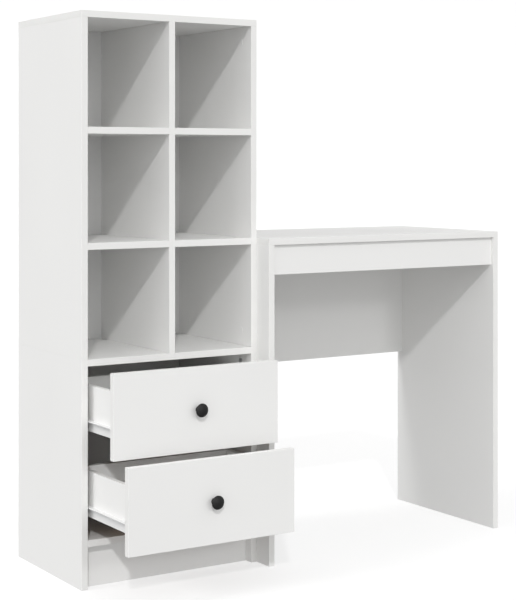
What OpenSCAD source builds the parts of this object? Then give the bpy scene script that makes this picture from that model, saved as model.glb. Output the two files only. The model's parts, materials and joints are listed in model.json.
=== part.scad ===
// White board desk beside a cube shelf tower with two drawers on roller runners.
// Design frame: X = 0 is the tower's left face, Y = 0 is the front of its boards,
// Z = 0 is the floor. The finished part stands with its box centred on X = Y = 0.

/* [Boards] */
// Thickness of the coated boards
board_t = 15; // [14:0.5:18]
// Thickness of the fibreboard backs and drawer bottoms
hdf_t = 3; // [2.5:0.5:4]

/* [Tower] */
// Outer width of the tower
tower_w = 447; // [370:1:540]
// Depth of the tower's boards, without the back
tower_d = 338; // [300:1:410]
// Clear height of one cube
cube_h = 237; // [195:1:290]
// Height of the drawer section, up to the seam in the sides
lower_h = 498; // [470:1:600]
// Height of the plinth
plinth_h = 92; // [76:1:112]
// How far the plinth stands behind the front
plinth_set = 23; // [15:1:60]

/* [Desk] */
// Width of the desk over both legs
desk_w = 689; // [570:1:830]
// Height of the desk's work surface
desk_h = 750; // [625:1:900]
// How far the desk stands ahead of the tower
desk_out = 53; // [30:1:70]
// Height of the rail under the front edge
rail_h = 69; // [58:1:83]
// How far the rail stands behind the front edge
rail_set = 9; // [4:1:20]
// Height of the panel behind the knee space
screen_h = 327; // [270:1:395]
// From the legs' rear edges to the front face of that panel
screen_in = 20; // [19:1:60]

/* [Drawers] */
// Thickness of the drawer's sides and back
side_t = 12; // [12:0.5:14]
// Height of the drawer's sides
side_h = 98; // [82:1:112]
// Length of the drawer's sides and of its runners
side_l = 250; // [230:1:300]
// Gap above, between and below the two drawer fronts
front_gap = 2.5; // [2:0.1:4]
// Gap beside each end of a drawer front
front_side_gap = 2.6; // [2:0.1:4]
// From a front's lower edge up to the drawer sides' lower edge
side_rise = 45; // [37:1:54]
// How far the lower drawer stands open as drawn
lower_open = 183.5; // [100:0.5:190]
// How far the upper drawer stands open as drawn
upper_open = 116.5; // [50:0.5:185]

/* [Knobs] */
// Radius of the knob's head
knob_r = 15; // [12:0.5:18]
// How far the knob stands out from the drawer front
knob_out = 22; // [19:0.5:27]
// Radius of the knob's neck at the drawer front
neck_r = 7.5; // [6:0.5:9]

/* [Runners] */
// Free width between a drawer side and the tower's side
runner_gap = 12.5; // [12.5:0.1:14]
// Thickness of the runner steel
steel_t = 1.2; // [1:0.1:1.5]
// Height of the drawer's half of a runner
member_h = 24; // [22:0.5:29]
// Radius of the runner rollers
roller_r = 8; // [6.5:0.1:8.5]
// Width of the runner rollers
roller_w = 6; // [5:0.1:6.5]

/* [Hidden] */
$fn = 48;

// Colours
WHITE = [0.93, 0.93, 0.92];
RUNNER_WHITE = [0.96, 0.96, 0.96];
NYLON = [0.85, 0.85, 0.83];
BLACK = [0.13, 0.13, 0.13];
ZINC = [0.72, 0.73, 0.75];
BEECH = [0.82, 0.68, 0.48];

// Tower heights and overall sizes
tower_h = lower_h + 3 * cube_h + 3 * board_t;
tower_back_y = tower_d + hdf_t;
total_w = tower_w + desk_w;
inner_w = tower_w - 2 * board_t;
shelf_w = (inner_w - board_t) / 2;
mid_x = tower_w / 2;
y_front = -max(desk_out, max(upper_open, lower_open) + knob_out);
shelf_z = [for (k = [1, 2]) lower_h + k * cube_h + (k - 1) * board_t];
back_inset = 1.5;

// Desk places
desk_l_x = tower_w;
desk_r_x = total_w - board_t;
desk_under = desk_h - board_t;
rail_y = -desk_out + rail_set;
screen_y = tower_back_y - screen_in;
desk_inner_w = desk_w - 2 * board_t;

// Drawer places: index 0 is the lower drawer, index 1 the upper one
LOWER = 0;
UPPER = 1;
drawer_open = [lower_open, upper_open];
front_h = (lower_h - plinth_h - 2 * board_t - 3 * front_gap) / 2;
front_z = [for (k = [LOWER, UPPER]) plinth_h + board_t + front_gap + k * (front_h + front_gap)];
front_w = inner_w - 2 * front_side_gap;
side_x = board_t + runner_gap;
box_w = tower_w - 2 * side_x;
box_inner_w = box_w - 2 * side_t;
groove_up = 8;
groove_in = 5;
groove_clear = 0.1;
bottom_z = side_rise + groove_up;
drawer_back_z = bottom_z + hdf_t + groove_clear;
drawer_back_y = board_t + side_l - side_t;

// Runner section, heights above a drawer front's lower edge
roll_gap = 0.3;
member_lip = 0.8;
channel_gap = 0.7;
channel_play = 1;
flange_top = side_rise - steel_t + member_h;
flange_under = flange_top - steel_t;
cabinet_roller_z = flange_under - roll_gap - roller_r;
channel_top = flange_under - member_lip - channel_gap;
channel_floor = channel_top - steel_t - 2 * roller_r - channel_play;
drawer_roller_z = channel_floor + roll_gap + roller_r;

// Runner section, distances from the tower side's inner face
member_x = runner_gap - steel_t;
pin_end = 1;
pin_end_gap = 0.5;
roller_side_gap = 0.3;
roller_x = steel_t + pin_end_gap + pin_end + roller_side_gap;
flange_side_gap = 1.6;
channel_side_gap = 1.5;
channel_reach = member_x - channel_side_gap;
pin_r = 2;
pin_head_r = 3.2;
pin_clear = 0.05;
runner_y = board_t + front_gap;
roller_end = 10;
open_nose = 24;
lip_w = 1;
screw_steps = [0.2, 0.5, 0.8];
runner_head_r = 3.2;
runner_head_h = 2;
runner_shaft_r = 1.6;
member_screw_in = 4.2;
member_screw_l = 12;
foot_inset = 2;
screw_short = 2;
cabinet_screw_z = (channel_floor + channel_top) / 2;

// Fasteners
fit_clear = 0.05;
cam_r = 7.5;
cam_skin = 2.5;
cam_in = 34;
bolt_r = 3;
bolt_neck_r = 2;
bolt_bite = 11;
bolt_hole_r = 3.6;
dowel_r = 4;
drawer_dowel_r = 3;
dowel_bite = 10.5;
dowel_l = 30;
hole_over = 0.5;
through_l = board_t + 2 * (dowel_l - dowel_bite);
confirmat_r = 2.5;
confirmat_head_r = 3.5;
confirmat_head_h = 3;
rail_screw_l = 50;
drawer_screw_l = 40;
cap_r = 4.5;
cap_t = 1;
cover_r = 8.5;
cover_t = 0.8;
sleeve_r = 4;
sleeve_hole_r = 4.1;
connector_head_r = 6.5;
connector_head_h = 1.8;
nail_r = 0.7;
nail_head_r = 1.5;
nail_head_h = 0.5;
nail_l = 18;
machine_r = 2;
knob_screw_l = 25;

// Distances of the joints from a board's front and rear edges
cam_from_edge = 45;
dowel_from_edge = 85;
board_cam_from_edge = 110;
board_dowel_from_edge = 65;
shelf_dowel_from_edge = 60;
desk_cam_from_front = 60;
desk_dowel_from_front = 100;
screen_cam_from_edge = 60;
plinth_dowel_from_edge = 22;
rail_screw_up = 12;
rail_dowel_down = 18;
connector_below_floor = 32;
connector_below_middle = 21;
connector_gap = 0.5;

// Depths at which the boards are joined
edge_y = [cam_from_edge, tower_d - cam_from_edge];
edge_dowel_y = [dowel_from_edge, tower_d - dowel_from_edge];
board_y = [board_cam_from_edge, tower_d - board_cam_from_edge];
board_dowel_y = [board_dowel_from_edge, tower_d - board_dowel_from_edge];
shelf_dowel_y = [shelf_dowel_from_edge, tower_d - shelf_dowel_from_edge];
desk_y = [desk_cam_from_front - desk_out, tower_back_y - cam_from_edge];
desk_dowel_y = [desk_dowel_from_front - desk_out, tower_back_y - dowel_from_edge];
rail_mid_y = rail_y + board_t / 2;
rail_screw_z = desk_under - rail_h + rail_screw_up;
rail_dowel_z = desk_under - rail_dowel_down;
screen_mid_y = screen_y + board_t / 2;
screen_cam_z = [desk_under - screen_cam_from_edge,
                desk_under - screen_h + screen_cam_from_edge];
screen_dowel_z = desk_under - screen_h / 2;
plinth_mid_y = plinth_set + board_t / 2;
plinth_dowel_z = [plinth_dowel_from_edge, plinth_h - plinth_dowel_from_edge];
connector_z = [plinth_h - connector_below_floor, lower_h - board_t - connector_below_middle];
connector_y = [plinth_set + board_t + connector_head_r + connector_gap,
               tower_d - cam_from_edge];

// Turns for a joint that runs +Z with its cam let in from +X
DOWN_FROM_LEFT = [180, 0, 0];
DOWN_FROM_RIGHT = [0, 180, 0];
UP_FROM_LEFT = [0, 0, 0];
UP_FROM_RIGHT = [0, 0, 180];
RIGHT_UNDER = [0, 90, 0];
LEFT_UNDER = [0, 90, 180];
RIGHT_REAR = [90, 0, 90];
LEFT_REAR = [-90, 0, 90];
BACK_FROM_LEFT = [-90, 0, 0];
BACK_FROM_RIGHT = [90, 0, 180];

// A joint is [place, turn]; both_sides makes a pair for each depth
function both_sides(ys, x, z, left, right) =
  [for (y = ys) each [[[x, y, z], left], [[tower_w - x, y, z], right]]];
function desk_sides(ys, z, left, right) =
  [for (y = ys) each [[[desk_l_x + board_t / 2, y, z], left],
                      [[desk_r_x + board_t / 2, y, z], right]]];
function desk_ends(y, zs, left, right) =
  [for (z = zs) each [[[desk_l_x + board_t, y, z], left], [[desk_r_x, y, z], right]]];

top_plane = tower_h - board_t;
middle_z = lower_h - board_t / 2;
floor_z = plinth_h + board_t / 2;
top_cams = both_sides(edge_y, board_t / 2, top_plane, DOWN_FROM_LEFT, DOWN_FROM_RIGHT);
top_dowels = both_sides(edge_dowel_y, board_t / 2, top_plane, DOWN_FROM_LEFT, DOWN_FROM_RIGHT);
seam_cams = both_sides(edge_y, board_t / 2, lower_h, UP_FROM_LEFT, UP_FROM_RIGHT);
seam_dowels = both_sides(edge_dowel_y, board_t / 2, lower_h, UP_FROM_LEFT, UP_FROM_RIGHT);
middle_cams = both_sides(board_y, board_t, middle_z, RIGHT_UNDER, LEFT_UNDER);
middle_dowels = both_sides(board_dowel_y, board_t, middle_z, RIGHT_UNDER, LEFT_UNDER);
floor_cams = both_sides(board_y, board_t, floor_z, RIGHT_UNDER, LEFT_UNDER);
floor_dowels = both_sides(board_dowel_y, board_t, floor_z, RIGHT_UNDER, LEFT_UNDER);
divider_top_dowels = [for (y = edge_dowel_y) [[mid_x, y, top_plane], DOWN_FROM_LEFT]];
divider_foot_dowels = [for (y = edge_dowel_y) [[mid_x, y, lower_h], UP_FROM_LEFT]];
shelf_end_dowels = [for (z = shelf_z)
  each both_sides(shelf_dowel_y, board_t, z + board_t / 2, RIGHT_UNDER, LEFT_UNDER)];
plinth_dowels = [for (z = plinth_dowel_z)
  each both_sides([plinth_mid_y], board_t, z, RIGHT_UNDER, LEFT_UNDER)];
desk_cams = desk_sides(desk_y, desk_under, DOWN_FROM_LEFT, DOWN_FROM_RIGHT);
desk_dowels = desk_sides(desk_dowel_y, desk_under, DOWN_FROM_LEFT, DOWN_FROM_RIGHT);
screen_cams = desk_ends(screen_mid_y, screen_cam_z, RIGHT_REAR, LEFT_REAR);
screen_dowels = desk_ends(screen_mid_y, [screen_dowel_z], RIGHT_REAR, LEFT_REAR);
rail_dowels = desk_ends(rail_mid_y, [rail_dowel_z], RIGHT_REAR, LEFT_REAR);

// ---- Placing helpers ----

// Moves the design frame so that the part's box is centred over the origin
module placed() {
  translate([-total_w / 2, -(tower_back_y + y_front) / 2, 0])
    children();
}

module at_joint(joint) {
  translate(joint[0])
    rotate(joint[1])
      children();
}

// Mirrors a left-hand piece of the tower to the right
module right_hand() {
  translate([tower_w, 0, 0])
    mirror([1, 0, 0])
      children();
}

// Local frame of a drawer: closed place, Z = 0 at its front's lower edge
module in_drawer(k) {
  placed()
    translate([0, -drawer_open[k], front_z[k]])
      children();
}

// Fixed runner frame: same heights as the drawer, but it stays in the tower
module in_bay(k) {
  placed()
    translate([0, 0, front_z[k]])
      children();
}

module box(from, size) {
  translate(from)
    cube(size);
}

// A rod along X from x0 to x1
module rod_x(x0, x1, y, z, r) {
  translate([x0, y, z])
    rotate([0, 90, 0])
      cylinder(h = x1 - x0, r = r);
}

// ---- Fasteners and the holes they sit in ----

// Eccentric cam with the pocket that takes the bolt's head
module cam_lock(t) {
  depth = t - cam_skin;
  slot_w = 1.6;
  slot_deep = 1.5;
  difference() {
    translate([t / 2 - depth, 0, cam_in])
      rotate([0, 90, 0])
        cylinder(h = depth, r = cam_r - fit_clear);
    cylinder(h = cam_in + bolt_r + hole_over, r = bolt_hole_r);
    for (turn = [0, 90])
      translate([t / 2 - slot_deep, 0, cam_in])
        rotate([turn, 0, 0])
          translate([0, -cam_r / 2, -slot_w / 2])
            cube([slot_deep + hole_over, cam_r, slot_w]);
  }
}

module cam_bolt() {
  neck_l = 3;
  shank_end = cam_in - 2 * neck_l;
  translate([0, 0, -bolt_bite])
    cylinder(h = bolt_bite + shank_end, r = bolt_r);
  translate([0, 0, shank_end])
    cylinder(h = neck_l, r = bolt_neck_r);
  translate([0, 0, shank_end + neck_l])
    cylinder(h = neck_l, r = bolt_r);
}

module cam_holes(joints, t) {
  for (joint = joints)
    at_joint(joint) {
      translate([t / 2 - t + cam_skin - fit_clear, 0, cam_in])
        rotate([0, 90, 0])
          cylinder(h = t, r = cam_r);
      cylinder(h = cam_in + bolt_r + hole_over, r = bolt_hole_r);
      translate([0, 0, -bolt_bite - hole_over])
        cylinder(h = bolt_bite + 2 * hole_over, r = bolt_r + fit_clear);
    }
}

module dowel(r) {
  translate([0, 0, -dowel_bite])
    cylinder(h = dowel_l, r = r);
}

module dowel_holes(joints, r) {
  for (joint = joints)
    at_joint(joint)
      translate([0, 0, -dowel_bite - hole_over])
        cylinder(h = dowel_l + 2 * hole_over, r = r + fit_clear);
}

// Long dowel through the divider into the shelves on both sides
module through_dowels(extra_r, extra_l) {
  for (z = shelf_z)
    for (y = shelf_dowel_y)
      rod_x(mid_x - through_l / 2 - extra_l, mid_x + through_l / 2 + extra_l,
            y, z + board_t / 2, dowel_r + extra_r);
}

// Confirmat screw driven along +X, its head's outer face at x = 0
module confirmat(l, grow) {
  rod_x(-grow, confirmat_head_h + grow, 0, 0, confirmat_head_r + grow);
  rod_x(0, l + grow, 0, 0, confirmat_r + grow);
}

// Countersunk chipboard screw driven along +Z, its head's face at z = 0
module runner_screw(l) {
  cylinder(h = runner_head_h, r1 = runner_head_r, r2 = runner_shaft_r);
  cylinder(h = l, r = runner_shaft_r);
}

// Countersunk hole through the runner steel, on which the screw's head bears
module runner_screw_seat() {
  translate([0, 0, -hole_over])
    cylinder(h = hole_over, r = runner_head_r);
  runner_screw(max(runner_head_h, steel_t) + hole_over);
}

// The two rail screws, one through each leg, their heads under the caps
module at_rail_screws() {
  translate([desk_l_x + cap_t, rail_mid_y, rail_screw_z])
    children();
  translate([total_w - cap_t, rail_mid_y, rail_screw_z])
    mirror([1, 0, 0])
      children();
}

module rail_screw_holes() {
  at_rail_screws() {
    confirmat(rail_screw_l, fit_clear);
    rod_x(-cap_t - hole_over, 0, 0, 0, cap_r + fit_clear);
  }
}

module at_connectors() {
  for (z = connector_z)
    for (y = connector_y)
      translate([tower_w, y, z])
        children();
}

module connector_holes() {
  at_connectors()
    rod_x(-board_t - hole_over, board_t + hole_over, 0, 0, sleeve_hole_r);
}

// ---- Tower ----

module tower_side(z0, z1) {
  box([0, 0, z0], [board_t, tower_d, z1 - z0]);
}

module tower_top() {
  color(WHITE)
    placed()
      difference() {
        box([0, 0, top_plane], [tower_w, tower_d, board_t]);
        cam_holes(top_cams, board_t);
        dowel_holes(top_dowels, dowel_r);
        dowel_holes(divider_top_dowels, dowel_r);
      }
}

module upper_side_board() {
  difference() {
    tower_side(lower_h, top_plane);
    cam_holes(top_cams, board_t);
    dowel_holes(top_dowels, dowel_r);
    cam_holes(seam_cams, board_t);
    dowel_holes(seam_dowels, dowel_r);
    dowel_holes(shelf_end_dowels, dowel_r);
  }
}

module upper_left_side() {
  color(WHITE)
    placed()
      upper_side_board();
}

module upper_right_side() {
  color(WHITE)
    placed()
      right_hand()
        upper_side_board();
}

module lower_side_board() {
  difference() {
    tower_side(0, lower_h);
    cam_holes(seam_cams, board_t);
    dowel_holes(seam_dowels, dowel_r);
    cam_holes(middle_cams, board_t);
    dowel_holes(middle_dowels, dowel_r);
    cam_holes(floor_cams, board_t);
    dowel_holes(floor_dowels, dowel_r);
    dowel_holes(plinth_dowels, dowel_r);
  }
}

module lower_left_side() {
  color(WHITE)
    placed()
      lower_side_board();
}

module lower_right_side() {
  color(WHITE)
    placed()
      difference() {
        right_hand()
          lower_side_board();
        connector_holes();
      }
}

module centre_divider() {
  color(WHITE)
    placed()
      difference() {
        box([mid_x - board_t / 2, 0, lower_h], [board_t, tower_d, top_plane - lower_h]);
        dowel_holes(divider_top_dowels, dowel_r);
        dowel_holes(divider_foot_dowels, dowel_r);
        through_dowels(fit_clear, 0);
      }
}

// A short shelf: row 0 is the lower one, right is true in the right column
module shelf(row, right) {
  x0 = right ? mid_x + board_t / 2 : board_t;
  color(WHITE)
    placed()
      difference() {
        box([x0, 0, shelf_z[row]], [shelf_w, tower_d, board_t]);
        dowel_holes(shelf_end_dowels, dowel_r);
        through_dowels(fit_clear, hole_over);
      }
}

module shelf_upper_left() {
  shelf(1, false);
}

module shelf_upper_right() {
  shelf(1, true);
}

module shelf_lower_left() {
  shelf(0, false);
}

module shelf_lower_right() {
  shelf(0, true);
}

module middle_board() {
  color(WHITE)
    placed()
      difference() {
        box([board_t, 0, lower_h - board_t], [inner_w, tower_d, board_t]);
        cam_holes(middle_cams, board_t);
        dowel_holes(middle_dowels, dowel_r);
        dowel_holes(divider_foot_dowels, dowel_r);
      }
}

module bottom_board() {
  color(WHITE)
    placed()
      difference() {
        box([board_t, 0, plinth_h], [inner_w, tower_d, board_t]);
        cam_holes(floor_cams, board_t);
        dowel_holes(floor_dowels, dowel_r);
      }
}

module plinth() {
  color(WHITE)
    placed()
      difference() {
        box([board_t, plinth_set, 0], [inner_w, board_t, plinth_h]);
        dowel_holes(plinth_dowels, dowel_r);
      }
}

module tower_back(z0, z1) {
  color(WHITE)
    placed()
      box([back_inset, tower_d, z0], [tower_w - 2 * back_inset, hdf_t, z1 - z0]);
}

module tower_back_upper() {
  tower_back(lower_h - board_t / 2 + back_inset / 2, tower_h - back_inset);
}

module tower_back_lower() {
  tower_back(plinth_h + back_inset, lower_h - board_t / 2 - back_inset / 2);
}

// ---- Desk ----

module desk_top() {
  color(WHITE)
    placed()
      difference() {
        box([desk_l_x, -desk_out, desk_under], [desk_w, desk_out + tower_back_y, board_t]);
        cam_holes(desk_cams, board_t);
        dowel_holes(desk_dowels, dowel_r);
      }
}

module desk_leg(x0) {
  difference() {
    box([x0, -desk_out, 0], [board_t, desk_out + tower_back_y, desk_under]);
    cam_holes(desk_cams, board_t);
    dowel_holes(desk_dowels, dowel_r);
    cam_holes(screen_cams, board_t);
    dowel_holes(screen_dowels, dowel_r);
    dowel_holes(rail_dowels, dowel_r);
    rail_screw_holes();
  }
}

module desk_left_leg() {
  color(WHITE)
    placed()
      difference() {
        desk_leg(desk_l_x);
        connector_holes();
      }
}

module desk_right_leg() {
  color(WHITE)
    placed()
      desk_leg(desk_r_x);
}

module front_rail() {
  color(WHITE)
    placed()
      difference() {
        box([desk_l_x + board_t, rail_y, desk_under - rail_h], [desk_inner_w, board_t, rail_h]);
        dowel_holes(rail_dowels, dowel_r);
        rail_screw_holes();
      }
}

module back_panel() {
  color(WHITE)
    placed()
      difference() {
        box([desk_l_x + board_t, screen_y, desk_under - screen_h],
            [desk_inner_w, board_t, screen_h]);
        cam_holes(screen_cams, board_t);
        dowel_holes(screen_dowels, dowel_r);
      }
}

// ---- Drawers ----

drawer_cam_up = 14;
drawer_dowel_down = 18;
drawer_screw_up = 32;
drawer_screw_down = 20;
drawer_cam_z = side_rise + side_h / 2 + drawer_cam_up;
drawer_dowel_z = side_rise + side_h / 2 - drawer_dowel_down;
drawer_side_mid = side_x + side_t / 2;
drawer_cams = both_sides([board_t], drawer_side_mid, drawer_cam_z,
                         BACK_FROM_LEFT, BACK_FROM_RIGHT);
drawer_dowels = both_sides([board_t], drawer_side_mid, drawer_dowel_z,
                           BACK_FROM_LEFT, BACK_FROM_RIGHT);
drawer_screw_z = [side_rise + drawer_screw_up, side_rise + side_h - drawer_screw_down];

// The four screws that hold a drawer's back between its sides
module drawer_back_screws(grow) {
  for (z = drawer_screw_z) {
    translate([side_x, drawer_back_y + side_t / 2, z])
      confirmat(drawer_screw_l, grow);
    right_hand()
      translate([side_x, drawer_back_y + side_t / 2, z])
        confirmat(drawer_screw_l, grow);
  }
}

module drawer_bottom_sheet(grow) {
  box([side_x + side_t - groove_in - grow, board_t - groove_in - grow, bottom_z - grow],
      [box_inner_w + 2 * groove_in + 2 * grow, side_l + groove_in + 2 * grow,
       hdf_t + 2 * grow]);
}

module drawer_front(k) {
  color(WHITE)
    in_drawer(k)
      difference() {
        box([board_t + front_side_gap, 0, 0], [front_w, board_t, front_h]);
        drawer_bottom_sheet(groove_clear);
        cam_holes(drawer_cams, side_t);
        dowel_holes(drawer_dowels, drawer_dowel_r);
        translate([mid_x, -hole_over, front_h / 2])
          rotate([-90, 0, 0])
            cylinder(h = board_t + 2 * hole_over, r = machine_r + fit_clear);
      }
}

module drawer_side_board() {
  difference() {
    box([side_x, board_t, side_rise], [side_t, side_l, side_h]);
    drawer_bottom_sheet(groove_clear);
    cam_holes(drawer_cams, side_t);
    dowel_holes(drawer_dowels, drawer_dowel_r);
    drawer_back_screws(fit_clear);
  }
}

module drawer_left_side(k) {
  color(WHITE)
    in_drawer(k)
      drawer_side_board();
}

module drawer_right_side(k) {
  color(WHITE)
    in_drawer(k)
      right_hand()
        drawer_side_board();
}

module drawer_back(k) {
  color(WHITE)
    in_drawer(k)
      difference() {
        box([side_x + side_t, drawer_back_y, drawer_back_z],
            [box_inner_w, side_t, side_rise + side_h - drawer_back_z]);
        drawer_back_screws(fit_clear);
      }
}

module drawer_bottom(k) {
  color(WHITE)
    in_drawer(k)
      drawer_bottom_sheet(0);
}

// Mushroom knob: flared neck, undercut head and a shallow dome
module knob(k) {
  crown = 4;
  rim_z = 13;
  neck_top = 11;
  head_under = 9;
  flare = 1.5;
  dome_r = (knob_r * knob_r + crown * crown) / (2 * crown);
  color(BLACK)
    in_drawer(k)
      translate([mid_x, 0, front_h / 2])
        rotate([90, 0, 0])
          difference() {
            union() {
              cylinder(h = neck_top, r1 = neck_r, r2 = neck_r - flare);
              intersection() {
                union() {
                  translate([0, 0, head_under])
                    cylinder(h = rim_z - head_under, r1 = neck_r + flare, r2 = knob_r);
                  translate([0, 0, rim_z])
                    cylinder(h = knob_out - rim_z, r = knob_r);
                }
                translate([0, 0, knob_out - dome_r])
                  sphere(r = dome_r);
              }
            }
            translate([0, 0, -hole_over])
              cylinder(h = knob_screw_l - board_t + 2 * hole_over, r = machine_r + fit_clear);
          }
}

module knob_screw(k) {
  head_r = 4;
  head_h = 2.4;
  color(ZINC)
    in_drawer(k)
      translate([mid_x, board_t, front_h / 2])
        rotate([90, 0, 0]) {
          cylinder(h = knob_screw_l, r = machine_r);
          translate([0, 0, -head_h])
            cylinder(h = head_h, r = head_r);
        }
}

// Cams, bolts, dowels and screws that hold one drawer together
module drawer_fittings(k) {
  color(ZINC)
    in_drawer(k) {
      for (joint = drawer_cams)
        at_joint(joint) {
          cam_lock(side_t);
          cam_bolt();
        }
      for (joint = drawer_dowels)
        at_joint(joint)
          dowel(drawer_dowel_r);
      drawer_back_screws(0);
      at_member_screws()
        runner_screw(member_screw_l);
    }
}

// ---- Roller runners ----

// Places of the screws driven up through the left runner half's foot into the drawer side
module at_left_member_screws() {
  for (step = screw_steps)
    translate([side_x + member_screw_in, board_t + step * side_l, side_rise - steel_t])
      children();
}

module at_member_screws() {
  at_left_member_screws()
    children();
  right_hand()
    at_left_member_screws()
      children();
}

// Drawer half: web on the drawer side, foot under it, flange that runs on the roller
module drawer_member() {
  foot_w = side_t - foot_inset;
  x0 = board_t;
  pin_y = board_t + side_l - roller_end;
  difference() {
    union() {
      box([x0 + member_x, board_t, side_rise - steel_t], [steel_t, side_l, member_h]);
      box([x0 + member_x, board_t, side_rise - steel_t], [steel_t + foot_w, side_l, steel_t]);
      box([x0 + flange_side_gap, board_t, flange_under],
          [runner_gap - flange_side_gap, side_l, steel_t]);
      box([x0 + flange_side_gap, board_t, flange_under - member_lip],
          [lip_w, side_l, member_lip + steel_t]);
    }
    at_left_member_screws()
      runner_screw_seat();
  }
  rod_x(x0 + roller_x - roller_side_gap, x0 + member_x + steel_t / 2,
        pin_y, drawer_roller_z, pin_r);
  rod_x(x0 + roller_x - roller_side_gap - pin_end, x0 + roller_x - roller_side_gap,
        pin_y, drawer_roller_z, pin_head_r);
  rod_x(x0 + roller_x + roller_w + roller_side_gap, x0 + member_x + steel_t / 2,
        pin_y, drawer_roller_z, pin_head_r);
}

// Tower half: channel on the tower's side, cut open at its nose for the front roller
module cabinet_member() {
  x0 = board_t;
  pin_y = runner_y + roller_end;
  floor_under = channel_floor - steel_t;
  difference() {
    union() {
      box([x0, runner_y, floor_under], [steel_t, side_l, channel_top - floor_under]);
      box([x0, runner_y, floor_under], [channel_reach, side_l, steel_t]);
      box([x0, runner_y + open_nose, channel_top - steel_t],
          [channel_reach, side_l - open_nose, steel_t]);
    }
    at_left_cabinet_screws()
      runner_screw_seat();
  }
  rod_x(x0 + steel_t / 2, x0 + roller_x - roller_side_gap, pin_y, cabinet_roller_z, pin_head_r);
  rod_x(x0 + steel_t / 2, x0 + roller_x + roller_w + roller_side_gap,
        pin_y, cabinet_roller_z, pin_r);
  rod_x(x0 + roller_x + roller_w + roller_side_gap,
        x0 + roller_x + roller_w + roller_side_gap + pin_end,
        pin_y, cabinet_roller_z, pin_head_r);
}

module roller(y, z) {
  rim = 1;
  x0 = board_t + roller_x;
  color(NYLON)
    difference() {
      rod_x(x0, x0 + roller_w, y, z, roller_r);
      rod_x(x0 - rim, x0 + roller_w + rim, y, z, pin_r + pin_clear);
    }
}

module drawer_roller() {
  roller(board_t + side_l - roller_end, drawer_roller_z);
}

module cabinet_roller() {
  roller(runner_y + roller_end, cabinet_roller_z);
}

// ---- Upper drawer ----

module upper_drawer_front() {
  drawer_front(UPPER);
}

module upper_drawer_left_side() {
  drawer_left_side(UPPER);
}

module upper_drawer_right_side() {
  drawer_right_side(UPPER);
}

module upper_drawer_back() {
  drawer_back(UPPER);
}

module upper_drawer_bottom() {
  drawer_bottom(UPPER);
}

module upper_knob() {
  knob(UPPER);
}

module upper_knob_screw() {
  knob_screw(UPPER);
}

module upper_drawer_left_runner() {
  color(RUNNER_WHITE)
    in_drawer(UPPER)
      drawer_member();
}

module upper_drawer_right_runner() {
  color(RUNNER_WHITE)
    in_drawer(UPPER)
      right_hand()
        drawer_member();
}

module upper_drawer_left_roller() {
  in_drawer(UPPER)
    drawer_roller();
}

module upper_drawer_right_roller() {
  in_drawer(UPPER)
    right_hand()
      drawer_roller();
}

module upper_drawer_fittings() {
  drawer_fittings(UPPER);
}

// ---- Lower drawer ----

module lower_drawer_front() {
  drawer_front(LOWER);
}

module lower_drawer_left_side() {
  drawer_left_side(LOWER);
}

module lower_drawer_right_side() {
  drawer_right_side(LOWER);
}

module lower_drawer_back() {
  drawer_back(LOWER);
}

module lower_drawer_bottom() {
  drawer_bottom(LOWER);
}

module lower_knob() {
  knob(LOWER);
}

module lower_knob_screw() {
  knob_screw(LOWER);
}

module lower_drawer_left_runner() {
  color(RUNNER_WHITE)
    in_drawer(LOWER)
      drawer_member();
}

module lower_drawer_right_runner() {
  color(RUNNER_WHITE)
    in_drawer(LOWER)
      right_hand()
        drawer_member();
}

module lower_drawer_left_roller() {
  in_drawer(LOWER)
    drawer_roller();
}

module lower_drawer_right_roller() {
  in_drawer(LOWER)
    right_hand()
      drawer_roller();
}

module lower_drawer_fittings() {
  drawer_fittings(LOWER);
}

// ---- Runner halves and rollers in the tower ----

module upper_left_cabinet_runner() {
  color(RUNNER_WHITE)
    in_bay(UPPER)
      cabinet_member();
}

module upper_right_cabinet_runner() {
  color(RUNNER_WHITE)
    in_bay(UPPER)
      right_hand()
        cabinet_member();
}

module lower_left_cabinet_runner() {
  color(RUNNER_WHITE)
    in_bay(LOWER)
      cabinet_member();
}

module lower_right_cabinet_runner() {
  color(RUNNER_WHITE)
    in_bay(LOWER)
      right_hand()
        cabinet_member();
}

module upper_left_cabinet_roller() {
  in_bay(UPPER)
    cabinet_roller();
}

module upper_right_cabinet_roller() {
  in_bay(UPPER)
    right_hand()
      cabinet_roller();
}

module lower_left_cabinet_roller() {
  in_bay(LOWER)
    cabinet_roller();
}

module lower_right_cabinet_roller() {
  in_bay(LOWER)
    right_hand()
      cabinet_roller();
}

// ---- Groups of fasteners in the carcass ----

carcass_cams = concat(top_cams, seam_cams, middle_cams, floor_cams, desk_cams, screen_cams);
carcass_dowels = concat(top_dowels, seam_dowels, middle_dowels, floor_dowels,
                        divider_top_dowels, divider_foot_dowels, shelf_end_dowels,
                        plinth_dowels, desk_dowels, screen_dowels, rail_dowels);
covered_cams = concat(top_cams, seam_cams, desk_cams);

module cam_locks() {
  color(ZINC)
    placed()
      for (joint = carcass_cams)
        at_joint(joint)
          cam_lock(board_t);
}

module cam_bolts() {
  color(ZINC)
    placed()
      for (joint = carcass_cams)
        at_joint(joint)
          cam_bolt();
}

module dowels() {
  color(BEECH)
    placed() {
      for (joint = carcass_dowels)
        at_joint(joint)
          dowel(dowel_r);
      through_dowels(0, 0);
    }
}

module confirmat_screws() {
  color(ZINC)
    placed()
      at_rail_screws()
        confirmat(rail_screw_l, 0);
}

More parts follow.
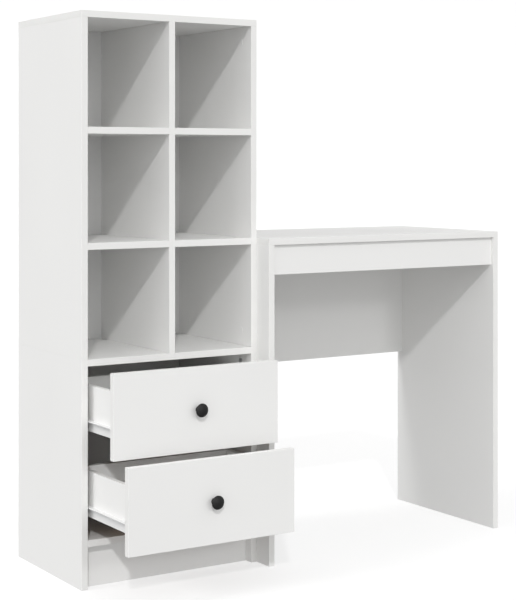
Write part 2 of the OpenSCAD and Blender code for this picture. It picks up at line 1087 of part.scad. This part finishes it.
// Sleeve nut from the tower's side, screw from the desk leg's side
module connector_bolts() {
  sleeve_l = 25;
  bolt_l = 22;
  color(ZINC)
    placed()
      at_connectors() {
        difference() {
          union() {
            rod_x(-board_t - connector_head_h, -board_t, 0, 0, connector_head_r);
            rod_x(-board_t - connector_head_h, sleeve_l - board_t, 0, 0, sleeve_r);
          }
          rod_x(-board_t, sleeve_l, 0, 0, machine_r + fit_clear);
        }
        rod_x(board_t - bolt_l, board_t + connector_head_h, 0, 0, machine_r);
        rod_x(board_t, board_t + connector_head_h, 0, 0, connector_head_r);
      }
}

// Nail driven forward through the back, its head flush with the rear face
module back_nail(x, z) {
  translate([x, tower_back_y, z])
    rotate([90, 0, 0]) {
      cylinder(h = nail_head_h, r = nail_head_r);
      cylinder(h = nail_l, r = nail_r);
    }
}

module back_nails() {
  edge_x = board_t / 2;
  upper_steps = 6;
  lower_steps = 3;
  above_seam = 40;
  below_top = 50;
  above_plinth = 50;
  below_seam = 60;
  upper_z0 = lower_h + above_seam;
  upper_z1 = tower_h - below_top;
  lower_z0 = plinth_h + above_plinth;
  lower_z1 = lower_h - below_seam;
  color(ZINC)
    placed() {
      for (k = [0 : upper_steps - 1]) {
        z = upper_z0 + k * (upper_z1 - upper_z0) / (upper_steps - 1);
        back_nail(edge_x, z);
        back_nail(mid_x, z);
        back_nail(tower_w - edge_x, z);
      }
      for (k = [0 : lower_steps - 1]) {
        z = lower_z0 + k * (lower_z1 - lower_z0) / (lower_steps - 1);
        back_nail(edge_x, z);
        back_nail(tower_w - edge_x, z);
      }
      for (x = [tower_w / 4, 3 * tower_w / 4]) {
        back_nail(x, tower_h - edge_x);
        back_nail(x, lower_h - edge_x / 2);
        back_nail(x, plinth_h + edge_x);
      }
    }
}

// Places of the screws through the left tower runner half into the tower's side
module at_left_cabinet_screws() {
  for (step = screw_steps)
    translate([board_t + steel_t, runner_y + step * side_l, cabinet_screw_z])
      rotate([0, -90, 0])
        children();
}

module runner_screws() {
  cabinet_screw_l = board_t - screw_short;
  color(ZINC)
    for (k = [LOWER, UPPER])
      in_bay(k) {
        at_left_cabinet_screws()
          runner_screw(cabinet_screw_l);
        right_hand()
          at_left_cabinet_screws()
            runner_screw(cabinet_screw_l);
      }
}

// Round covers over the cams that show, and flush caps over the rail screws
module cover_caps() {
  color(WHITE)
    placed() {
      for (joint = covered_cams)
        at_joint(joint)
          translate([board_t / 2, 0, cam_in])
            rotate([0, 90, 0])
              cylinder(h = cover_t, r = cover_r);
      at_rail_screws()
        rod_x(-cap_t, 0, 0, 0, cap_r);
    }
}

// ---- One line for each piece ----
tower_top();
upper_left_side();
upper_right_side();
lower_left_side();
lower_right_side();
centre_divider();
shelf_upper_left();
shelf_upper_right();
shelf_lower_left();
shelf_lower_right();
middle_board();
bottom_board();
plinth();
tower_back_upper();
tower_back_lower();
desk_top();
desk_left_leg();
desk_right_leg();
front_rail();
back_panel();
upper_drawer_front();
upper_drawer_left_side();
upper_drawer_right_side();
upper_drawer_back();
upper_drawer_bottom();
upper_knob();
upper_knob_screw();
upper_drawer_left_runner();
upper_drawer_right_runner();
upper_drawer_left_roller();
upper_drawer_right_roller();
upper_drawer_fittings();
lower_drawer_front();
lower_drawer_left_side();
lower_drawer_right_side();
lower_drawer_back();
lower_drawer_bottom();
lower_knob();
lower_knob_screw();
lower_drawer_left_runner();
lower_drawer_right_runner();
lower_drawer_left_roller();
lower_drawer_right_roller();
lower_drawer_fittings();
upper_left_cabinet_runner();
upper_right_cabinet_runner();
lower_left_cabinet_runner();
lower_right_cabinet_runner();
upper_left_cabinet_roller();
upper_right_cabinet_roller();
lower_left_cabinet_roller();
lower_right_cabinet_roller();
cam_locks();
cam_bolts();
dowels();
confirmat_screws();
connector_bolts();
back_nails();
runner_screws();
cover_caps();
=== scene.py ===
import json
import math

import bmesh
import bpy
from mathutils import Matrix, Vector


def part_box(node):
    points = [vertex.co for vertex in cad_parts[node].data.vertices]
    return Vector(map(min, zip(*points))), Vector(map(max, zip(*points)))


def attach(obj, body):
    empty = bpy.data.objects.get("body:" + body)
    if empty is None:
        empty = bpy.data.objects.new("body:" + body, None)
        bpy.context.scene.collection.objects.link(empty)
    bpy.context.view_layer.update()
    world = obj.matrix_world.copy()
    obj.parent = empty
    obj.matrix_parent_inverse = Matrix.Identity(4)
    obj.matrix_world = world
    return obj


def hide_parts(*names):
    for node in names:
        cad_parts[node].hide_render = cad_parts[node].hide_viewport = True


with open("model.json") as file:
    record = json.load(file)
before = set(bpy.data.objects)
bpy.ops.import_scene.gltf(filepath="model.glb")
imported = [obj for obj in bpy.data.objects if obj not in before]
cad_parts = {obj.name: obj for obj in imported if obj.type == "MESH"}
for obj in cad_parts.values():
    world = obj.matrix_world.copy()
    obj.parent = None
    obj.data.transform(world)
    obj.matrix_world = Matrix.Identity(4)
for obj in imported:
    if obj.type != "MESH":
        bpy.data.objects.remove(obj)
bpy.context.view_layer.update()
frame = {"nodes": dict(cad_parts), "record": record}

node_body = {n: body for body, members in frame["record"]["behaviour"]["bodies"].items() for n in members}
MM = 0.001

# ---- Which piece is made of what ----

DRAWERS = ("upper", "lower")
SIDES = ("left", "right")
CARCASS_BOARDS = [
    "tower_top", "upper_left_side", "upper_right_side", "lower_left_side", "lower_right_side",
    "centre_divider", "shelf_upper_left", "shelf_upper_right", "shelf_lower_left",
    "shelf_lower_right", "middle_board", "bottom_board", "plinth", "desk_top",
    "desk_left_leg", "desk_right_leg", "front_rail", "back_panel",
]
DRAWER_PARTS = ("front", "left_side", "right_side", "back")
DRAWER_BOARDS = [f"{d}_drawer_{part}" for d in DRAWERS for part in DRAWER_PARTS]
BACKS = ["tower_back_upper", "tower_back_lower"]
DRAWER_BOTTOMS = [f"{d}_drawer_bottom" for d in DRAWERS]
RUNNERS = [f"{d}_drawer_{s}_runner" for d in DRAWERS for s in SIDES]
RUNNERS += [f"{d}_{s}_cabinet_runner" for d in DRAWERS for s in SIDES]
ROLLERS = [f"{d}_drawer_{s}_roller" for d in DRAWERS for s in SIDES]
ROLLERS += [f"{d}_{s}_cabinet_roller" for d in DRAWERS for s in SIDES]
KNOBS = [f"{d}_knob" for d in DRAWERS]
ZINC_PARTS = ["cam_locks", "cam_bolts", "confirmat_screws", "connector_bolts", "back_nails", "runner_screws"]
ZINC_PARTS += [f"{d}_knob_screw" for d in DRAWERS] + [f"{d}_drawer_fittings" for d in DRAWERS]


# ---- Materials ----

class Shader:
    """A node material with short calls for the few patterns that the finishes share."""

    def __init__(self, name, roughness=0.5, metallic=0.0):
        self.material = bpy.data.materials.new(name)
        self.material.use_nodes = True
        self.nodes = self.material.node_tree.nodes
        self.links = self.material.node_tree.links
        self.surface = self.nodes["Principled BSDF"]
        self.surface.inputs["Roughness"].default_value = roughness
        self.surface.inputs["Metallic"].default_value = metallic
        self.place = self.nodes.new("ShaderNodeTexCoord").outputs["Object"]

    def stretched(self, scale):
        """Object coordinates scaled unevenly, for fibres and grain."""
        mapping = self.nodes.new("ShaderNodeMapping")
        mapping.inputs["Scale"].default_value = scale
        self.links.new(self.place, mapping.inputs["Vector"])
        return mapping.outputs["Vector"]

    def noise(self, scale, detail=3.0, place=None):
        texture = self.nodes.new("ShaderNodeTexNoise")
        texture.inputs["Scale"].default_value = scale
        texture.inputs["Detail"].default_value = detail
        self.links.new(place or self.place, texture.inputs["Vector"])
        return texture.outputs["Fac"]

    def tones(self, factor, *stops):
        """A colour ramp: each stop is (position, (r, g, b))."""
        ramp = self.nodes.new("ShaderNodeValToRGB")
        elements = ramp.color_ramp.elements
        while len(elements) < len(stops):
            elements.new(0.5)
        for element, (position, colour) in zip(elements, stops):
            element.position = position
            element.color = (*colour, 1.0)
        self.links.new(factor, ramp.inputs["Fac"])
        return ramp.outputs["Color"]

    def spread(self, factor, low, high):
        """Maps a pattern's middle range onto low to high."""
        node = self.nodes.new("ShaderNodeMapRange")
        node.inputs["From Min"].default_value = 0.3
        node.inputs["From Max"].default_value = 0.7
        node.inputs["To Min"].default_value = low
        node.inputs["To Max"].default_value = high
        self.links.new(factor, node.inputs["Value"])
        return node.outputs["Result"]

    def flag(self, name):
        """A face attribute that the mesh code wrote, 0 or 1."""
        node = self.nodes.new("ShaderNodeAttribute")
        node.attribute_name = name
        return node.outputs["Fac"]

    def mix(self, factor, a, b):
        node = self.nodes.new("ShaderNodeMix")
        node.data_type = "RGBA"
        self.links.new(factor, node.inputs[0])
        self.links.new(a, node.inputs[6])
        self.links.new(b, node.inputs[7])
        return node.outputs[2]

    def colour(self, output):
        self.links.new(output, self.surface.inputs["Base Color"])

    def roughness(self, output):
        self.links.new(output, self.surface.inputs["Roughness"])

    def bump(self, height, distance, strength=1.0):
        node = self.nodes.new("ShaderNodeBump")
        node.inputs["Distance"].default_value = distance
        node.inputs["Strength"].default_value = strength
        self.links.new(height, node.inputs["Height"])
        self.links.new(node.outputs["Normal"], self.surface.inputs["Normal"])


def melamine():
    """White coated particleboard: a fine pearl texture, and edge bands a touch darker and warmer."""
    s = Shader("white_melamine")
    clouds = s.noise(2.5, 2.0)
    face = s.tones(clouds, (0.3, (0.868, 0.866, 0.855)), (0.7, (0.888, 0.886, 0.875)))
    band = s.tones(s.noise(6.0, 2.0), (0.3, (0.850, 0.848, 0.834)), (0.7, (0.870, 0.868, 0.854)))
    s.colour(s.mix(s.flag("edge_band"), face, band))
    s.roughness(s.spread(s.noise(35.0), 0.40, 0.52))
    s.bump(s.noise(850.0, 2.0), 0.03 * MM, 0.35)
    s.surface.inputs["Specular IOR Level"].default_value = 0.35
    return s.material


def fibreboard():
    """Thin fibreboard: white foil on the show side, raw brown fibres on the other."""
    s = Shader("fibreboard")
    foil = s.tones(s.noise(3.0, 2.0), (0.3, (0.850, 0.852, 0.847)), (0.7, (0.874, 0.876, 0.871)))
    fibre_place = s.stretched((1.0, 2.6, 1.0))
    fibres = s.noise(260.0, 6.0, fibre_place)
    raw = s.tones(fibres, (0.25, (0.205, 0.114, 0.052)), (0.5, (0.275, 0.158, 0.076)),
                  (0.78, (0.345, 0.208, 0.106)))
    s.colour(s.mix(s.flag("raw_face"), foil, raw))
    s.roughness(s.spread(s.noise(60.0), 0.46, 0.70))
    s.bump(fibres, 0.06 * MM, 0.5)
    return s.material


def epoxy_steel():
    """White powder coat on the runner steel, with a slight orange peel."""
    s = Shader("runner_epoxy")
    s.colour(s.tones(s.noise(9.0, 2.0), (0.3, (0.800, 0.802, 0.800)), (0.7, (0.850, 0.852, 0.850))))
    s.roughness(s.spread(s.noise(120.0), 0.28, 0.42))
    s.bump(s.noise(520.0, 2.0), 0.05 * MM, 0.4)
    return s.material


def nylon():
    s = Shader("nylon")
    s.colour(s.tones(s.noise(160.0, 2.0), (0.3, (0.700, 0.700, 0.670)), (0.7, (0.790, 0.790, 0.762))))
    s.roughness(s.spread(s.noise(400.0), 0.38, 0.52))
    s.surface.inputs["Subsurface Weight"].default_value = 0.15
    s.surface.inputs["Subsurface Scale"].default_value = 1.5 * MM
    s.bump(s.noise(900.0, 2.0), 0.02 * MM, 0.4)
    return s.material


def matte_black():
    """Knob finish: near black, with a fine grain that scatters its highlight."""
    s = Shader("knob_black")
    s.colour(s.tones(s.noise(700.0, 3.0), (0.3, (0.006, 0.006, 0.006)), (0.7, (0.015, 0.015, 0.015))))
    s.roughness(s.spread(s.noise(300.0), 0.46, 0.60))
    s.bump(s.noise(1400.0, 2.0), 0.03 * MM, 0.5)
    s.surface.inputs["Specular IOR Level"].default_value = 0.35
    return s.material


def zinc():
    s = Shader("zinc_plate", metallic=1.0)
    patches = s.noise(220.0, 4.0)
    s.colour(s.tones(patches, (0.3, (0.50, 0.51, 0.53)), (0.55, (0.62, 0.63, 0.64)),
                     (0.75, (0.72, 0.71, 0.67))))
    s.roughness(s.spread(patches, 0.26, 0.44))
    s.bump(s.noise(1600.0, 2.0), 0.01 * MM, 0.4)
    return s.material


def beech():
    s = Shader("beech")
    grain = s.noise(420.0, 5.0, s.stretched((0.12, 1.0, 1.0)))
    s.colour(s.tones(grain, (0.3, (0.46, 0.29, 0.16)), (0.7, (0.66, 0.46, 0.29))))
    s.roughness(s.spread(grain, 0.50, 0.66))
    s.bump(grain, 0.05 * MM, 0.5)
    return s.material


def cap_plastic():
    s = Shader("cap_plastic")
    s.colour(s.tones(s.noise(90.0, 2.0), (0.3, (0.862, 0.860, 0.850)), (0.7, (0.882, 0.880, 0.870))))
    s.roughness(s.spread(s.noise(260.0), 0.34, 0.48))
    s.bump(s.noise(1100.0, 2.0), 0.02 * MM, 0.4)
    return s.material


# Each finish, under the name that the pieces below ask for
FINISHES = {
    "white_board": melamine(), "fibreboard": fibreboard(), "runner_steel": epoxy_steel(),
    "nylon": nylon(), "knob_black": matte_black(), "zinc_steel": zinc(), "beech": beech(),
    "cap_plastic": cap_plastic(),
}


# ---- Mesh helpers ----

WELD = 0.005 * MM
FLAT = math.radians(0.5)
SHARP = math.radians(35)
RIM = math.radians(50)
FOLD = math.radians(60)
ON_BOX = 0.02 * MM
ON_AXIS = 1e-6


def clean_mesh(node):
    """The CAD node as one welded mesh with its flat faces merged."""
    bm = bmesh.new()
    bm.from_mesh(frame["nodes"][node].data)
    bmesh.ops.remove_doubles(bm, verts=bm.verts, dist=WELD)
    bmesh.ops.dissolve_limit(bm, angle_limit=FLAT, verts=bm.verts, edges=bm.edges)
    return bm


def soften(bm, edges, radius, segments=3):
    bmesh.ops.bevel(bm, geom=edges, offset=radius, offset_type="OFFSET", segments=segments,
                    profile=0.5, affect="EDGES", clamp_overlap=True)


def on_faces(co, lo, hi):
    """How many of the box's faces this point lies on."""
    return sum(min(abs(co[k] - lo[k]), abs(co[k] - hi[k])) < ON_BOX for k in range(3))


def box_edges(bm, lo, hi):
    """The mesh edges that run along the twelve edges of the box."""
    found = []
    for edge in bm.edges:
        a, b = edge.verts[0].co, edge.verts[1].co
        if on_faces((a + b) / 2, lo, hi) >= 2 and on_faces(a, lo, hi) >= 2 and on_faces(b, lo, hi) >= 2:
            found.append(edge)
    return found


def write_flag(mesh, name, values):
    attribute = mesh.attributes.new(name, "FLOAT", "FACE")
    attribute.data.foreach_set("value", values)


def finish_piece(bm, name, node, finish, flags=()):
    """Makes an object from the mesh, in place of its CAD node, on the same body."""
    for face in bm.faces:
        face.smooth = True
    for edge in bm.edges:
        edge.smooth = len(edge.link_faces) == 2 and edge.calc_face_angle(math.pi) < SHARP
    mesh = bpy.data.meshes.new(name)
    bm.to_mesh(mesh)
    bm.free()
    for flag, rule in flags:
        write_flag(mesh, flag, [rule(p.normal) for p in mesh.polygons])
    mesh.materials.append(FINISHES[finish])
    piece = bpy.data.objects.new(name, mesh)
    bpy.context.scene.collection.objects.link(piece)
    weights = piece.modifiers.new("flat_faces", "WEIGHTED_NORMAL")
    weights.keep_sharp = True
    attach(piece, node_body[node])
    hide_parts(node)
    return piece


# ---- Boards and sheets ----

ARRIS = 0.5 * MM
SHEET_ARRIS = 0.2 * MM


def thin_axis(lo, hi):
    size = hi - lo
    return min(range(3), key=lambda k: size[k])


def board(node):
    """A coated board with softened arrises and banded edges."""
    lo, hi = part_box(node)
    axis = thin_axis(lo, hi)
    bm = clean_mesh(node)
    soften(bm, box_edges(bm, lo, hi), ARRIS)
    edge = ("edge_band", lambda normal: float(abs(normal[axis]) < 0.9))
    return finish_piece(bm, node + "_board", node, "white_board", [edge])


def sheet_of_fibreboard(node, raw_axis, raw_sign):
    """A thin sheet whose face towards raw_sign on raw_axis is left uncoated."""
    lo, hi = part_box(node)
    bm = clean_mesh(node)
    soften(bm, box_edges(bm, lo, hi), SHEET_ARRIS, 2)
    raw = ("raw_face", lambda normal: float(normal[raw_axis] * raw_sign > 0.5 or abs(normal[raw_axis]) < 0.5))
    return finish_piece(bm, node + "_sheet", node, "fibreboard", [raw])


for name in CARCASS_BOARDS + DRAWER_BOARDS:
    board(name)
for name in BACKS:
    sheet_of_fibreboard(name, 1, 1)
for name in DRAWER_BOTTOMS:
    sheet_of_fibreboard(name, 2, -1)


# ---- Runners ----

BEND = 0.35 * MM
SHORTEST_FOLD = 10 * MM


def runner(node):
    """Folded steel: the long edges are rounded as a press brake leaves them."""
    bm = clean_mesh(node)
    long_edges = []
    for edge in bm.edges:
        along = edge.verts[1].co - edge.verts[0].co
        lengthwise = abs(along.y) > 0.99 * along.length and along.length > SHORTEST_FOLD
        if lengthwise and len(edge.link_faces) == 2 and edge.calc_face_angle(0) > FOLD:
            long_edges.append(edge)
    soften(bm, long_edges, BEND, 2)
    return finish_piece(bm, node + "_profile", node, "runner_steel")


for name in RUNNERS:
    runner(name)


# ---- Turned pieces ----

def arc(centre, radius, start, end, steps):
    """Points on an arc in the (radius, height) plane, angles in degrees."""
    points = []
    for k in range(steps + 1):
        angle = math.radians(start + (end - start) * k / steps)
        points.append((centre[0] + radius * math.cos(angle), centre[1] + radius * math.sin(angle)))
    return points


def lathe(profile, place, segments=72):
    """Turns (radius, height) points round an axis; place(radius_x, radius_y, height) gives the point."""
    bm = bmesh.new()
    rings = []
    for radius, height in profile:
        if radius < ON_AXIS:
            rings.append([bm.verts.new(place(0.0, 0.0, height))])
            continue
        ring = []
        for k in range(segments):
            angle = 2 * math.pi * k / segments
            ring.append(bm.verts.new(place(radius * math.cos(angle), radius * math.sin(angle), height)))
        rings.append(ring)
    for a, b in zip(rings, rings[1:]):
        for k in range(segments):
            n = (k + 1) % segments
            corners = [a[k % len(a)], a[n % len(a)], b[n % len(b)], b[k % len(b)]]
            unique = list(dict.fromkeys(corners))
            if len(unique) > 2:
                bm.faces.new(unique)
    bmesh.ops.recalc_face_normals(bm, faces=bm.faces)
    return bm


def knob(node):
    """Mushroom knob: flared foot, waisted neck, undercut head with a rolled rim and a low dome."""
    lo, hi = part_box(node)
    centre = (lo + hi) / 2
    head_r = (hi.x - lo.x) / 2
    height = hi.y - lo.y
    foot_r = 0.5 * head_r
    neck_r = 0.36 * head_r
    foot_h = 0.02 * height
    neck_h = 0.03 * height
    rim = 0.09 * height
    crown = 0.18 * height
    under = 0.50 * height
    rim_z = height - crown - rim
    neck_steps = 12
    dome_steps = 16
    profile = [(0.0, 0.0), (foot_r - 0.02 * head_r, 0.0), (foot_r, foot_h)]
    for k in range(1, neck_steps + 1):
        turn = k / neck_steps
        waist = neck_r + (foot_r - neck_r) * math.cos(turn * math.pi / 2) ** 0.6
        profile.append((waist, foot_h + turn * (under - foot_h - neck_h)))
    for k in range(1, neck_steps + 1):
        turn = k / neck_steps
        flare = turn ** 3
        flare_r = neck_r + (head_r - rim - neck_r) * turn
        profile.append((flare_r, under - neck_h + flare * (rim_z - rim - under)))
    profile += arc((head_r - rim, rim_z), rim, -80, 30, 10)
    edge_r, edge_z = profile[-1]
    for k in range(1, dome_steps + 1):
        turn = k / dome_steps
        dome = (height - edge_z) * math.sin(turn * math.pi / 2) ** 0.9
        profile.append((edge_r * (1 - turn), edge_z + dome))

    def place(x, y, z):
        return Vector((centre.x + x, hi.y - z, centre.z + y))

    return finish_piece(lathe(profile, place, 96), node + "_turned", node, "knob_black")


def roller(node):
    """Nylon roller: crowned tread with rounded shoulders, and a recessed web round its bore."""
    lo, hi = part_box(node)
    centre = (lo + hi) / 2
    outer = (hi.z - lo.z) / 2
    half = (hi.x - lo.x) / 2
    bore = 0.26 * outer
    hub = 0.46 * outer
    rim = 0.80 * outer
    recess = 0.16 * half
    shoulder = 0.14 * half
    side = [(bore, half), (hub, half), (hub + recess, half - recess),
            (rim - recess, half - recess), (rim, half)]
    profile = side + arc((outer - shoulder, half - shoulder), shoulder, 90, 0, 6)
    profile += [(radius, -height) for radius, height in reversed(profile)]
    profile.append(profile[0])

    def place(x, y, z):
        return Vector((centre.x + z, centre.y + x, centre.z + y))

    bm = lathe(profile, place)
    bmesh.ops.remove_doubles(bm, verts=bm.verts, dist=WELD)
    bmesh.ops.recalc_face_normals(bm, faces=bm.faces)
    return finish_piece(bm, node + "_wheel", node, "nylon")


for name in KNOBS:
    knob(name)
for name in ROLLERS:
    roller(name)


# ---- Small fittings, softened in place ----

ZINC_ROUND = 0.15 * MM
DOWEL_ROUND = 0.6 * MM
CAP_ROUND = 0.3 * MM


def small_parts(node, finish, radius):
    """The CAD solids of a group of fasteners, with their hard rims eased."""
    bm = clean_mesh(node)
    rims = []
    for edge in bm.edges:
        if len(edge.link_faces) == 2 and edge.calc_face_angle(0) > RIM:
            rims.append(edge)
    soften(bm, rims, radius, 2)
    return finish_piece(bm, node + "_set", node, finish)


for name in ZINC_PARTS:
    small_parts(name, "zinc_steel", ZINC_ROUND)
small_parts("dowels", "beech", DOWEL_ROUND)
small_parts("cover_caps", "cap_plastic", CAP_ROUND)


# ---- Floor ----

FLOOR_GLOW = 0.60


def studio_floor():
    """A wide pale floor that rises behind in one smooth sweep."""
    floor_w = 14.0
    front = -6.0
    back = 4.0
    sweep = 2.0
    wall_h = 6.0
    points = [(front, 0.0), (back, 0.0)]
    for degrees in range(10, 91, 10):
        angle = math.radians(degrees)
        points.append((back + sweep * math.sin(angle), sweep * (1 - math.cos(angle))))
    points.append((back + sweep, wall_h))
    bm = bmesh.new()
    rows = [[bm.verts.new((x, y, z)) for x in (-floor_w / 2, floor_w / 2)] for y, z in points]
    for a, b in zip(rows, rows[1:]):
        bm.faces.new((a[0], a[1], b[1], b[0])).smooth = True
    mesh = bpy.data.meshes.new("studio_floor")
    bm.to_mesh(mesh)
    bm.free()
    s = Shader("pale_floor")
    s.colour(s.tones(s.noise(1.5, 2.0), (0.3, (0.43, 0.43, 0.43)), (0.7, (0.45, 0.45, 0.45))))
    s.roughness(s.spread(s.noise(20.0), 0.85, 0.95))
    s.surface.inputs["Specular IOR Level"].default_value = 0.1
    s.surface.inputs["Emission Color"].default_value = (1.0, 1.0, 1.0, 1.0)
    s.surface.inputs["Emission Strength"].default_value = FLOOR_GLOW
    mesh.materials.append(s.material)
    floor = bpy.data.objects.new("studio_floor", mesh)
    bpy.context.scene.collection.objects.link(floor)
    floor.visible_diffuse = False
    floor.visible_glossy = False
    floor.visible_shadow = False


studio_floor()


# ---- Camera and light ----

CAMERA_AT = (-1.9933, -3.0220, 0.9259)
CAMERA_YAW = 32.416
CAMERA_LENS = 90.65
CAMERA_SHIFT = -0.2304


def camera():
    data = bpy.data.cameras.new("camera")
    data.lens = CAMERA_LENS
    data.sensor_width = 36.0
    data.shift_y = CAMERA_SHIFT
    data.clip_end = 60.0
    rig = bpy.data.objects.new("camera", data)
    rig.location = CAMERA_AT
    rig.rotation_euler = (math.radians(90), 0, math.radians(-CAMERA_YAW))
    bpy.context.scene.collection.objects.link(rig)
    bpy.context.scene.camera = rig


def sun(name, travel, strength, spread):
    """A distant lamp whose light travels along the given direction; spread is its width in degrees."""
    data = bpy.data.lights.new(name, "SUN")
    data.energy = strength
    data.angle = math.radians(spread)
    lamp = bpy.data.objects.new(name, data)
    lamp.rotation_euler = Vector(travel).to_track_quat("-Z", "Y").to_euler()
    bpy.context.scene.collection.objects.link(lamp)


def soft_sky(above, below):
    """White light from all round, with its own strength above and below the horizon."""
    blur = 0.1
    world = bpy.data.worlds.new("studio")
    world.use_nodes = True
    nodes = world.node_tree.nodes
    links = world.node_tree.links
    nodes["Background"].inputs["Color"].default_value = (1.0, 1.0, 1.0, 1.0)
    direction = nodes.new("ShaderNodeTexCoord").outputs["Generated"]
    split = nodes.new("ShaderNodeSeparateXYZ")
    links.new(direction, split.inputs["Vector"])
    blend = nodes.new("ShaderNodeMapRange")
    blend.inputs["From Min"].default_value = -blur
    blend.inputs["From Max"].default_value = blur
    blend.inputs["To Min"].default_value = below
    blend.inputs["To Max"].default_value = above
    links.new(split.outputs["Z"], blend.inputs["Value"])
    links.new(blend.outputs["Result"], nodes["Background"].inputs["Strength"])
    bpy.context.scene.world = world


camera()
bpy.context.scene.view_settings.view_transform = "Standard"
sun("key", (0.58, 1.0, -0.78), 0.94, 2.5)
sun("fill", (-0.13, 1.0, -0.34), 0.25, 8.0)
sun("side", (1.0, -0.10, -0.75), 0.72, 14.0)
sun("left", (1.0, 0.25, -0.30), 0.27, 30.0)
sun("front", (0.5, 1.0, -0.15), 0.34, 60.0)
soft_sky(0.68, 0.385)
